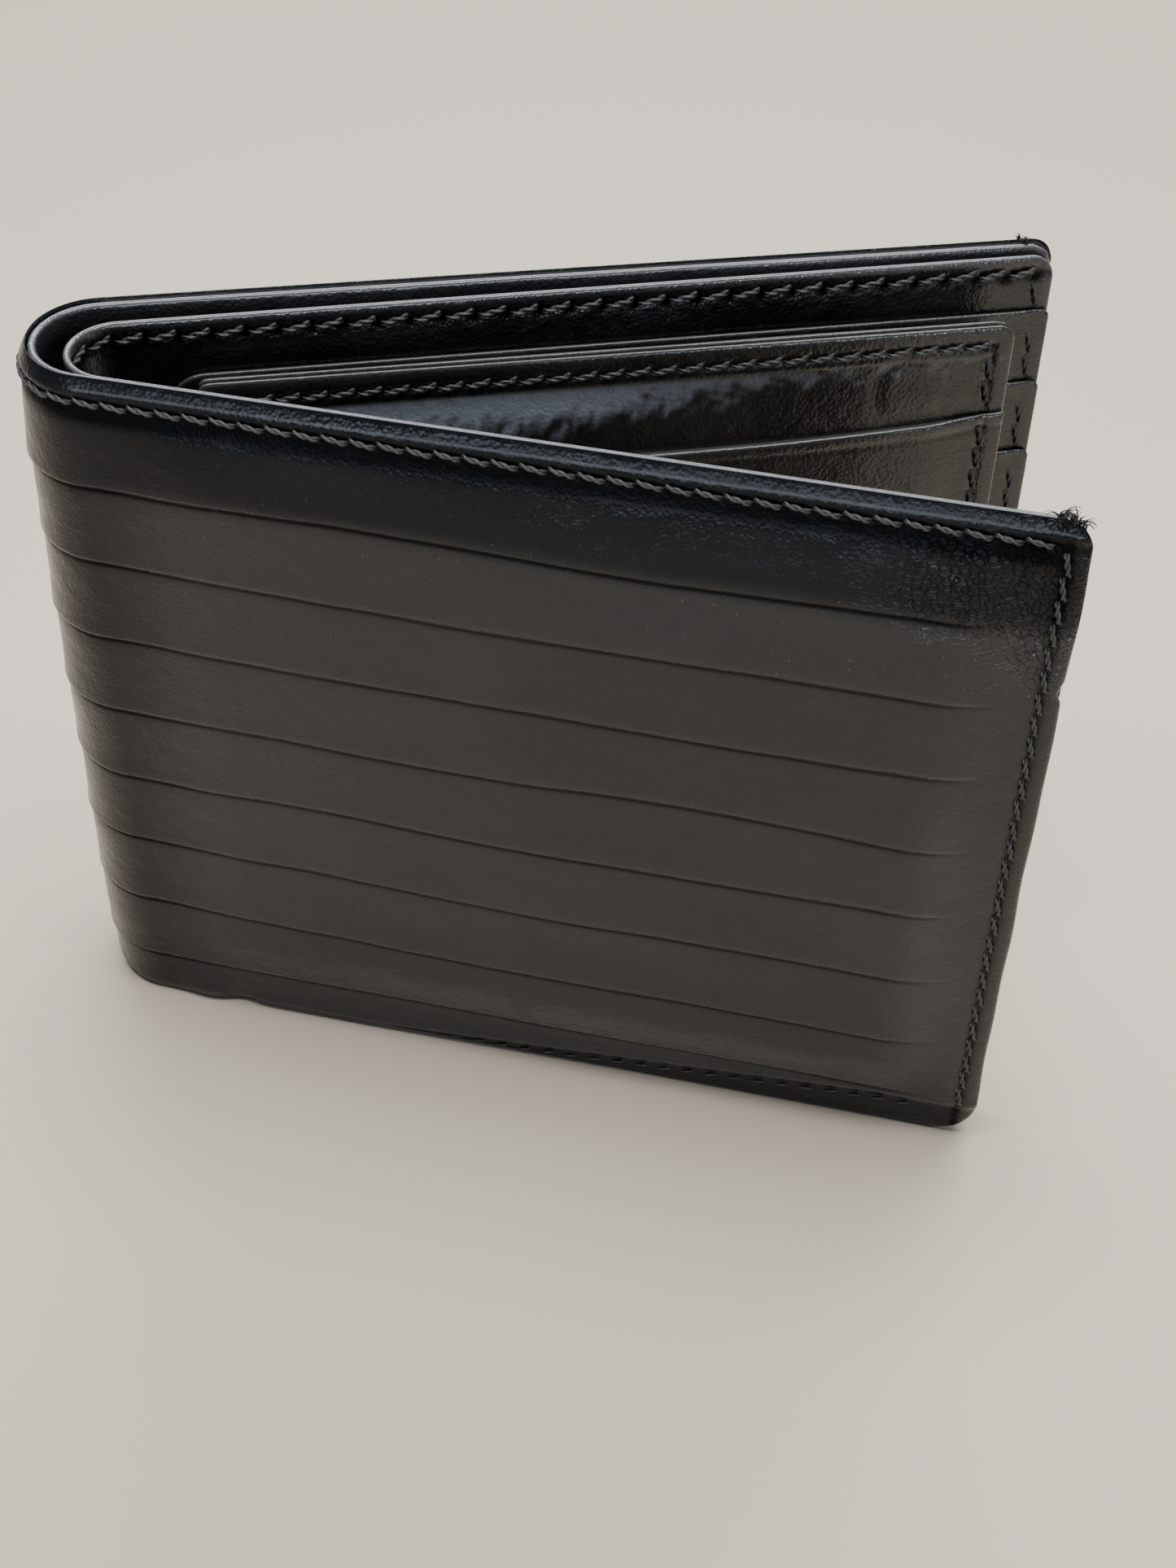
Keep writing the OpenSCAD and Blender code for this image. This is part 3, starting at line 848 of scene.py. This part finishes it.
# painted highlight mask: a thin line just above each crease
def paintedRidgeHighlightMark(side):
    bend = coverPath(side)[1]
    end = bend + lengths[side]

    def mark(x, z):
        total = np.zeros(np.shape(x))
        fade = creaseFade(x, z, end)
        for i in range(cover["creaseCount"]):
            level, wave = creaseHeight(i, x, side)
            total = total + bell(z - level - wave - 0.62, 0.30) * fade
        return np.clip(total, 0, 1)

    return mark


def smearMark(side):
    bend = coverPath(side)[1]

    def mark(x, z):
        run = x - bend
        edge = 0.9 * ripple(run, z, 9, 8)
        long = smooth(1.6 - np.abs(z - 73.6 + 0.012 * run + edge) * 0.75) * bell(run - 58, 26)
        long = long * smooth(0.75 + 0.5 * ripple(run, 0 * z, 17, 18))
        oval = smooth(2 - np.hypot((run - 47) / 1.5, (z - 10) / 2.3) * 1.4)
        return np.clip(long + oval, 0, 1)

    return mark


def hazeAndHighlightMark(side):
    # wiped, slightly hazy polish low on the face, and a painted highlight in a band inside the free edge
    bend = coverPath(side)[1]

    def mark(x, z):
        run = x - bend
        lean = z + 0.22 * (run - 40)
        streak = smooth(0.45 + 0.55 * ripple(run * 0.25, lean * 3, 22, 9))
        low = bell(run - 44, 34) * bell(z - 23, 14) * (0.35 + 0.65 * streak)
        band = bell(run - lengths[side] + 9.5, 2.8) * smooth((60 - z) / 16) * smooth((z - 8) / 8)
        return np.clip(0.75 * low + band * (0.8 + 0.25 * ripple(run, z, 9, 12)), 0, 1)

    return mark


def pimpleMark(side):
    bend = coverPath(side)[1]

    def mark(x, z):
        run = x - bend
        main = bell(run - 64, 40) * bell(z - 79, 7.0)
        tail = 0.8 * bell(run - 82, 20) * bell(z - 71, 7) + 0.5 * bell(run - 20, 14) * bell(z - 74, 7)
        return np.clip((main + tail) * (0.9 + 0.5 * ripple(run, z, 10, 10)), 0, 1)

    return mark


def spineLift(bend, amount):
    # the lower edge rises a little round the fold
    def shift(x, z):
        return amount * smooth(1 - x / (bend * 0.95)) * np.clip(1 - z / 14, 0, 1) ** 2

    return shift


def edgeNick(side, end):
    # the free edge is a little uneven, with one small nick
    def shift(x, z):
        nick = -0.5 * bell(z - 69.5, 0.9) * smooth((x - end + 3) / 3)
        wave = 0.12 * ripple(z, 0 * x, 16, 21 + side) * smooth((x - end + 6) / 6)
        return nick + wave

    return shift


def foldEnds(side, centre, radius, turn):
    # where a sheet's bend round the fold starts and stops, in metres
    normal = outward(side, turn)
    flat = Vector(((centre[0] + radius * normal[0] + foldX) * mm,
                   (centre[1] + radius * normal[1] + foldY) * mm, 0))
    middle = Vector(((centre[0] - radius + foldX) * mm, (centre[1] + foldY) * mm, 0))
    return flat, middle


def bendAtFold(piece, side, centre, radius, turn):
    flat, middle = foldEnds(side, centre, radius, turn)
    if side > 0:
        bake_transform(piece)
    else:
        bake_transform(piece)


def nameOf(side):
    return "Back" if side > 0 else "Front"


def nodeOf(stem, side):
    return stem + ("_back" if side > 0 else "_front")


def makeCover(side):
    place, bend = coverPath(side)
    end = bend + lengths[side]
    relief = coverRelief(side)
    leather = leatherSheet(
        "coverLeather" + nameOf(side), place,
        gridLines(0, end, cover["runStep"], fineLow=False), coverRows(),
        lambda x, z: -relief(x, z),
        lambda x, z: wallet["coverLeather"] + 0 * x,
        coverMaterial,
        corners={"endTop": cover["topCorner"], "endLow": cover["lowCorner"]},
        seamStart=True, rim=0.5, shiftX=edgeNick(side, end), shiftZ=spineLift(bend, cover["foldLift"]),
        follow=followCreases(side), side=side,
        marks={"paintedShade": paintedShadeMark(side), "paintedRidgeHighlight": paintedRidgeHighlightMark(side), "smear": smearMark(side),
               "hazeAndHighlight": hazeAndHighlightMark(side), "crackle": crackle(side), "pimple": pimpleMark(side)})
    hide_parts(nodeOf("cover_leather", side), "cover_leather_spine")
    bendAtFold(leather, side, (0, 0), wallet["foldRadius"] - 0.45, opening)
    inset = wallet["edgeInset"]

    def liningFace(x, z):
        return wallet["coverThick"] - 0.06 * ripple(x, z, 30, 15) * smooth((end - x) / 12)

    lining = leatherSheet(
        "coverLining" + nameOf(side), place,
        gridLines(0, end - inset, 1.6, fineLow=False),
        gridLines(inset, coverHeight - inset, 2.0),
        lambda x, z: 1.0 + 0 * x,
        liningFace,
        liningMaterial,
        corners={"endTop": cover["topCorner"], "endLow": cover["lowCorner"]},
        seamStart=True, rim=0.4, shiftX=edgeNick(side, end), shiftZ=spineLift(bend, cover["foldLift"]),
        side=side)
    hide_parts(nodeOf("cover_lining", side), "cover_lining_spine", "interlining_spine")
    bendAtFold(lining, side, (0, 0), wallet["foldRadius"] - 1.5, opening)
    sewing = MeshBuilder()

    def surface(x, z):
        return -relief(np.asarray(x), np.asarray(z))

    sewRow(sewing, place, surface, 0, end - 1.6, coverHeight - cover["topSeam"], False, -1, slant=-12)
    sewRow(sewing, place, surface, cover["sideStart"], coverHeight - 3, end - cover["sideSeam"], True, -1)
    sewRow(sewing, place, surface, bend + 34, end - 5, 0, False, -1, scale=0.4, length=1.7,
           drift=lambda x: max(float(lowLine(x - bend)) - 1.3, 0.9))
    stitches = sewing.finish("coverThread" + nameOf(side), stitchMaterial)
    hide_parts(nodeOf("cover_thread", side), "cover_thread_spine")
    bendAtFold(stitches, side, (0, 0), wallet["foldRadius"] - 0.45, opening)


bill = {
    "pitch": 3.5,
    "seam": 2.0,
    "low": 2.0,
    "corner": 3.0,
}


def makeBillWall(side):
    place = wallPath(side)[0]
    end = wallReach(side)
    top = coverHeight - wallet["wallDrop"]
    seamAt = top - bill["seam"]
    sideAt = end - cover["sideSeam"] + wallet["edgeInset"]

    def face(x, z):
        drawn = 0.20 * bell(z - seamAt, 0.65)
        drawn = drawn + 0.18 * bell(z - seamAt + 0.7, 0.5) * stitchHoles(x, bill["pitch"], 0.6)
        upright = smooth((z - 82) / 1.5)
        drawn = drawn + upright * 0.2 * bell(x - sideAt, 0.6)
        swell = 0.14 * smooth((seamAt - 1 - z) / 4) * ripple(x, z, 26, 17)
        roll = 0.12 * bell(z - top + 0.8, 0.8)
        return wallet["wallThick"] - drawn + roll + swell

    # painted shade along the seam and in each stitch hole
    def holes(x, z):
        seam = 0.55 * bell(z - seamAt, 0.8)
        return np.clip(seam + bell(z - seamAt + 0.7, 0.6) * stitchHoles(x, bill["pitch"], 0.7), 0, 1)

    wall = leatherSheet(
        "billWall" + nameOf(side), place,
        gridLines(0, end, bill["pitch"] / 7, fineLow=False),
        np.concatenate([np.linspace(bill["low"], 66, 24)[:-1], np.arange(66, 83, 1.1),
                        gridLines(83.4, top, 0.28, fineLow=False)]),
        lambda x, z: 0 * x,
        face,
        liningMaterial,
        corners={"endTop": bill["corner"], "endLow": bill["corner"]},
        seamStart=True, rim=0.35, side=side, innerMarks={"paintedShade": holes})
    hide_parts(nodeOf("bill_wall", side), "bill_wall_spine")
    bendAtFold(wall, side, wallCentre, wallRadius - 0.35, pocketTurn(side))
    sewing = MeshBuilder()
    sewRow(sewing, place, face, 0, end - 1.8, seamAt, False, 1, pitch=bill["pitch"], length=3.5,
           scale=1.2, slant=17)
    sewRow(sewing, place, face, wallet["slotTops"][0] + 0.2, top - 1.4, sideAt, True, 1)
    stitches = sewing.finish("billThread" + nameOf(side), stitchMaterial)
    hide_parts(nodeOf("bill_thread", side), "bill_thread_spine")
    bendAtFold(stitches, side, wallCentre, wallRadius - 0.35, pocketTurn(side))


slots = {
    "low": 3.0,
    "corner": 1.0,
    "pressLine": 1.8,  # line pressed below each slot's edge
    "sideSeam": 1.8,
}


def makeSlots(side):
    place = pocketPath(side)
    body = "back_half" if side > 0 else "front_half"
    end = lengths[side] - wallet["edgeInset"]
    sewing = MeshBuilder()
    for i, top in enumerate(wallet["slotTops"]):
        base = wallet["wallThick"] + wallet["pocketFabric"] + i * wallet["slotThick"]
        lower = wallet["slotTops"][i + 1] if i < 2 else slots["low"]

        def face(x, z, base=base, top=top, lower=lower):
            pressed = 0.10 * bell(z - top + slots["pressLine"], 0.3)
            swell = 0.16 * smooth((end - x - 3) / 8) * smooth((x - 9) / 8) * smooth((top - z - 1.5) / 5)
            swell = swell * smooth((z - lower + 1) / 3)
            seam = 0.18 * bell(end - x - slots["sideSeam"], 0.6)
            seam = seam + 0.14 * bell(end - x - slots["sideSeam"], 0.45) * stitchHoles(z - lower, 2.9, 0.5)
            wave = 0.05 * ripple(x, z, 22, 40 + i) * smooth((top - z) / 3)
            return base + wallet["slotThick"] - pressed - seam + swell + wave

        panel = leatherSheet(
            "cardSlot{}{}".format(nameOf(side), i + 1), place,
            gridLines(wallet["pocketStart"], end, 0.9),
            gridLines(slots["low"], top, 0.6),
            lambda x, z, base=base: base + 0 * x,
            face,
            slotMaterial,
            corners={"endTop": slots["corner"], "endLow": slots["corner"],
                     "startTop": 4.0, "startLow": slots["corner"]},
            rim=0.3, side=side)
        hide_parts(nodeOf("card_slot", side) + "_{}".format(i + 1))
        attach(panel, body)
        sewRow(sewing, place, face, lower + (0.5 if i < 2 else 1.0), top - 0.5,
               end - slots["sideSeam"], True, 1)
    stitches = sewing.finish("slotThread" + nameOf(side), stitchMaterial)
    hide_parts(nodeOf("slot_thread", side))
    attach(stitches, body)


def makeWing():
    place = wingPath()
    half = wing["thick"] / 2
    cardFace = half - wing["slotLeather"]
    sideSeam = wing["width"] - wing["seam"]
    topSeam = wing["top"] - wing["seam"]
    runs = np.concatenate([gridLines(wing["start"], 85.0, 0.6, fineHigh=False)[:-1],
                           gridLines(85.0, wing["width"], 0.3, fineLow=False)])
    corners = {"endTop": 2.0, "endLow": 2.0, "startTop": 1.0, "startLow": 1.0}

    def lowered(x):
        return -wing["sag"] * (1 - x / wing["width"])

    def sag(x, z):
        return lowered(x) * smooth((z - 40) / 38)

    def stitchedFace(x, z):
        off = z - topSeam - lowered(x)
        inTop = smooth((sideSeam - x) / 1.5 + 0.7)
        inSide = smooth((topSeam - z) / 1.5 + 0.5)
        holes = stitchHoles(x - wing["start"] - 2, thread["pitch"], 0.5)
        upright = stitchHoles(z - wing["slotTop"] - 1, thread["pitch"], 0.5)
        drawn = inTop * (0.18 * bell(off, 0.6) + 0.18 * bell(off, 0.5) * holes)
        drawn = drawn + inSide * (0.18 * bell(x - sideSeam, 0.6) + 0.18 * bell(x - sideSeam, 0.5) * upright)
        fromTop = wing["top"] + lowered(x) - z
        fromRim = np.minimum(fromTop, (wing["width"] - x) * wing["hem"] / 3.2)
        drawn = drawn + 0.16 * smooth((fromRim - wing["hem"]) / 0.3 + 0.5)
        pad = smooth((fromTop - wing["hem"] - 0.3) / 6)
        pad = pad * smooth((sideSeam - 1.2 - x) / 6) * smooth((x - 3) / 6)
        ring = np.abs(np.hypot(x - 79, z - 77) - 4.2)
        swell = pad * (0.42 + 0.08 * ripple(x, z, 24, 61)) - 0.13 * bell(ring, 0.55)
        roll = 0.10 * np.clip(1 - fromTop / 1.2, 0, 1) ** 2
        return cardFace - drawn + swell - roll

    # painted sheen: a light bluish patch high on the wing's left, fading to the right
    def paintedSheen(x, z):
        fromTop = wing["top"] + lowered(x) - z
        ragged = 1.3 * ripple(x, z, 3.0, 64) + 0.8 * ripple(x, z, 1.1, 65)
        deep = 9.5 + ragged - 4.0 * smooth((x - 35) / 40)
        paintedSheenLight = smooth((deep - fromTop) / 3.5) * smooth((fromTop - wing["hem"]) / 0.4)
        return paintedSheenLight * (1 - 0.55 * smooth((x - 30) / 45))

    front = leatherSheet(
        "wingFrontLeather", place, runs,
        np.concatenate([gridLines(wing["low"], 78.0, 0.9, fineHigh=False)[:-1],
                        gridLines(78.0, wing["top"], 0.27, fineLow=False)]),
        lambda x, z: cardFace - wing["leather"] + 0 * x, stitchedFace,
        slotMaterial, corners=corners, rim=0.4, shiftZ=sag,
        innerMarks={"paintedSheen": paintedSheen})
    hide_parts("wing_front_leather")
    back = leatherSheet(
        "wingBackLeather", place, gridLines(wing["start"], wing["width"], 1.6),
        gridLines(wing["low"], wing["top"], 1.6),
        lambda x, z: -half + 0.05 * ripple(x, z, 26, 62), lambda x, z: -half + wing["leather"] + 0 * x,
        slotMaterial, corners=corners, rim=0.35, shiftZ=sag)
    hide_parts("wing_back_leather")
    card = leatherSheet(
        "wingCard", place, gridLines(wing["start"] + 0.5, wing["width"] - 0.5, 3.0),
        gridLines(wing["low"] + 0.5, wing["top"] - 0.5, 3.0),
        lambda x, z: -half + wing["leather"] + 0 * x,
        lambda x, z: -half + wing["leather"] + wing["card"] + 0 * x,
        board, corners=corners, rim=0.1, shiftZ=sag)
    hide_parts("wing_card")

    def dipAt(x):
        across = (x - wing["width"] / 2) / (wing["width"] / 2)
        return -wing["slotDip"] * (1 - across ** 2)

    def dip(x, z):
        return dipAt(x) * smooth((z - wing["low"]) / 50)

    def slotFaceDepth(x, z):
        upright = stitchHoles(z - wing["low"] - wing["seam"], thread["pitch"], 0.5)
        drawn = 0.16 * bell(x - sideSeam, 0.6) + 0.16 * bell(x - sideSeam, 0.5) * upright
        edge = wing["slotTop"] - z + dipAt(x)
        pressed = 0.10 * bell(edge - 1.8, 0.3) - 0.12 * bell(edge - 0.7, 0.6)
        pad = smooth((sideSeam - 0.8 - x) / 6) * smooth((x - 3) / 6)
        return half - drawn - pressed + pad * (0.62 + 0.08 * ripple(x, z, 24, 63))

    def slotBack(x, z):
        swell = smooth((z - 40) / 30) * smooth((sideSeam - x) / 8) * smooth((x - 3) / 6)
        return cardFace + 0.02 + 0.12 * swell

    panel = leatherSheet(
        "wingSlotPanel", place, runs,
        np.concatenate([gridLines(wing["low"], 68.0, 1.0, fineHigh=False)[:-1],
                        gridLines(68.0, wing["slotTop"], 0.35, fineLow=False)]),
        slotBack,
        slotFaceDepth,
        slotMaterial, corners={"endLow": 2.0, "startLow": 1.0}, rim=0.3, shiftZ=dip)
    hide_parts("wing_slot_panel")
    strip = MeshBuilder()
    # the strip rolls over a full turn and runs into the wing's edge
    stripLow, stripHigh = wing["low"] + 1, wing["top"] - 3.5
    outline = [(wing["start"] + 0.8, -0.35), (0.2, -0.4)]
    for k in range(13):
        turn = math.radians(-90 - 15 * k)
        outline.append((0.4 * math.cos(turn), 0.4 * math.sin(turn)))
    outline += [(0.2, 0.4), (wing["start"] + 0.8, 0.35)]
    xs = np.array([p[0] for p in outline])
    ds = np.array([p[1] for p in outline])
    levels = np.linspace(stripLow, stripHigh, 60)
    strip.tube([place(xs, h, ds * (1 + 0.08 * math.sin(h * 1.7))) for h in levels])
    hingeStrip = strip.finish("wingHingeStrip", hem)
    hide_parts("wing_hinge_strip")
    sewing = MeshBuilder()
    sewRow(sewing, place, stitchedFace, wing["start"] + 2, sideSeam + 0.5, topSeam, False, 1, scale=1.1,
           slant=15, drift=lowered)
    sewRow(sewing, place, stitchedFace, wing["slotTop"] + 1, topSeam - 0.2, sideSeam, True, 1)
    sewRow(sewing, place, slotFaceDepth, wing["low"] + wing["seam"], wing["slotTop"] - 1, sideSeam, True, 1)
    stitches = sewing.finish("wingThread", stitchMaterial)
    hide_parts("wing_thread")
    for piece in (front, back, card, panel, hingeStrip, stitches):
        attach(piece, "wing")
    anchorEnd = wing["hingeAt"] + 8
    anchor = leatherSheet(
        "wingAnchorStrip", pocketPath(1), gridLines(wing["hingeAt"] - 1, anchorEnd, 0.8),
        gridLines(wing["low"] + 1, wallet["slotTops"][2] - 1, 1.5),
        lambda x, z: slotFace + 0 * x, lambda x, z: slotFace + 0.3 + 0 * x,
        slotMaterial, corners={"endTop": 1.0, "endLow": 1.0}, rim=0.15)
    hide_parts("wing_anchor_strip")
    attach(anchor, "back_half")


fray = {
    "clumps": 8,
    "strands": 5,
    "length": (1.2, 3.4),
    "radius": 0.12,
    "spread": 3.0,
    "steps": 9,
}


def makeFray(side, seed, clumps, reachScale):
    place, bend = coverPath(side)
    end = bend + lengths[side]
    rng = random.Random(seed)
    tuft = MeshBuilder()
    ring = [k * math.pi * 2 / 5 for k in range(5)]
    for _ in range(clumps):
        rootX = end - 1.1 - rng.uniform(0, fray["spread"])
        rootDepth = rng.uniform(0.3, 1.5)
        baseHeading = rng.uniform(0.5, 2.3)
        baseCurl = rng.choice((-1, 1)) * rng.uniform(1.6, 3.6)
        baseLength = rng.uniform(*fray["length"]) * reachScale
        for _ in range(fray["strands"]):
            x = rootX + rng.uniform(-0.15, 0.15)
            drop = 3 - math.sqrt(max(9 - max(x - end + 3, 0) ** 2, 0))
            z = coverHeight - drop - 0.35
            depth = rootDepth + rng.uniform(-0.2, 0.2)
            length = baseLength * rng.uniform(0.5, 1.1)
            heading = baseHeading + rng.uniform(-0.35, 0.35)
            curl = baseCurl + rng.uniform(-0.8, 0.8)
            sway = rng.uniform(-0.4, 0.4)
            rings = []
            steps = fray["steps"]
            for s in range(steps):
                radius = fray["radius"] * (1 - 0.8 * (s / (steps - 1)) ** 1.5)
                rings.append([place(x + radius * math.cos(t), z, depth + radius * math.sin(t)) for t in ring])
                x += math.cos(heading) * length / steps
                z += math.sin(heading) * length / steps
                depth += sway * length / steps
                heading += curl / steps
            tuft.tube(rings)
    piece = tuft.finish("frayedCorner" + nameOf(side), hem)
    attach(piece, "back_half" if side > 0 else "front_half")


for half in (-1, 1):
    makeCover(half)
    makeBillWall(half)
    makeSlots(half)
    print("half done:", nameOf(half))
makeWing()
makeFray(-1, 5, fray["clumps"], 1.0)
makeFray(1, 6, 4, 0.5)
print("wing and frayed corners done")

inside = {
    "cover_hem_front": hem, "cover_hem_back": hem,
    "cover_stiffener_front": board, "cover_stiffener_back": board,
    "pocket_fabric_front": weave, "pocket_fabric_back": weave,
}
for nodeName, material in inside.items():
    node = frame["nodes"][nodeName]
    node.data.materials.clear()
    node.data.materials.append(material)

studio = {
    "floor": (0.80, 0.70, 0.56, 1),
    "floorMiddle": 0.4,
    "floorSize": 3.0,
    "azimuth": 0.70,
    "elevation": 42.55,
    "roll": 1.60,
    "distance": 275.2,
    "target": (4.8, 1.8, 28.2),
    "lens": 52.0,
    "sensor": 36.0,
}


def makeFloor():
    points = []
    count = 96
    for radius in (0.0, studio["floorMiddle"], studio["floorSize"]):
        for k in range(count if radius else 1):
            turn = 2 * math.pi * k / count
            points.append((radius * math.cos(turn), radius * math.sin(turn), 0))
    faces = [(0, 1 + k, 1 + (k + 1) % count) for k in range(count)]
    faces += [(1 + k, 1 + count + k, 1 + count + (k + 1) % count, 1 + (k + 1) % count) for k in range(count)]
    m = NodeMaterial("paleFloor")
    m.shader.inputs["Base Color"].default_value = studio["floor"]
    m.shader.inputs["Roughness"].default_value = 0.55
    mesh = bpy.data.meshes.new("floor")
    mesh.from_pydata(points, [], faces)
    mesh.materials.append(m.material)
    floor = bpy.data.objects.new("floor", mesh)
    bpy.context.scene.collection.objects.link(floor)


def areaLight(name, place, aim, size, power, colour, onlyShine=False):
    data = bpy.data.lights.new(name, "AREA")
    data.shape = "RECTANGLE"
    data.size, data.size_y = size
    data.energy = power
    data.color = colour
    lamp = bpy.data.objects.new(name, data)
    lamp.location = place
    lamp.visible_diffuse = not onlyShine
    lamp.rotation_euler = (Vector(aim) - Vector(place)).to_track_quat("-Z", "Y").to_euler()
    bpy.context.scene.collection.objects.link(lamp)


def makeCamera():
    data = bpy.data.cameras.new("camera")
    data.sensor_fit = "VERTICAL"
    data.sensor_height = studio["sensor"]
    data.lens = studio["lens"]
    data.clip_start = 0.01
    camera = bpy.data.objects.new("camera", data)
    az, el, roll = (math.radians(studio[k]) for k in ("azimuth", "elevation", "roll"))
    back = Vector((math.sin(az) * math.cos(el), -math.cos(az) * math.cos(el), math.sin(el)))
    right = (-back).cross(Vector((0, 0, 1))).normalized()
    up = right.cross(-back)
    rolledRight = right * math.cos(roll) + up * math.sin(roll)
    rolledUp = up * math.cos(roll) - right * math.sin(roll)
    turn = Matrix((rolledRight, rolledUp, back)).transposed().to_4x4()
    spot = Vector(studio["target"]) * mm + back * studio["distance"] * mm
    camera.matrix_world = Matrix.Translation(spot) @ turn
    bpy.context.scene.collection.objects.link(camera)
    bpy.context.scene.camera = camera


makeFloor()
areaLight("overheadLight", (0.0, 0.0, 0.46), (0, 0, 0.03), (0.45, 0.26), 2.9, (0.98, 0.98, 1.0))
areaLight("backLight", (0.1, 0.70, 0.62), (0, 0, 0.05), (1.2, 0.18), 8.0, (0.95, 0.97, 1.0))
# a card of light that only shows in the polish
areaLight("frontStrip", (-0.05, -0.75, 0.24), (0, 0, 0.07), (1.0, 0.13), 5.6, (0.78, 0.89, 1.0), True)
world = bpy.data.worlds.new("softRoom")
world.use_nodes = True
world.node_tree.nodes["Background"].inputs[0].default_value = (0.80, 0.87, 1.0, 1)
world.node_tree.nodes["Background"].inputs[1].default_value = 0.10
bpy.context.scene.world = world
makeCamera()
print("studio ready")
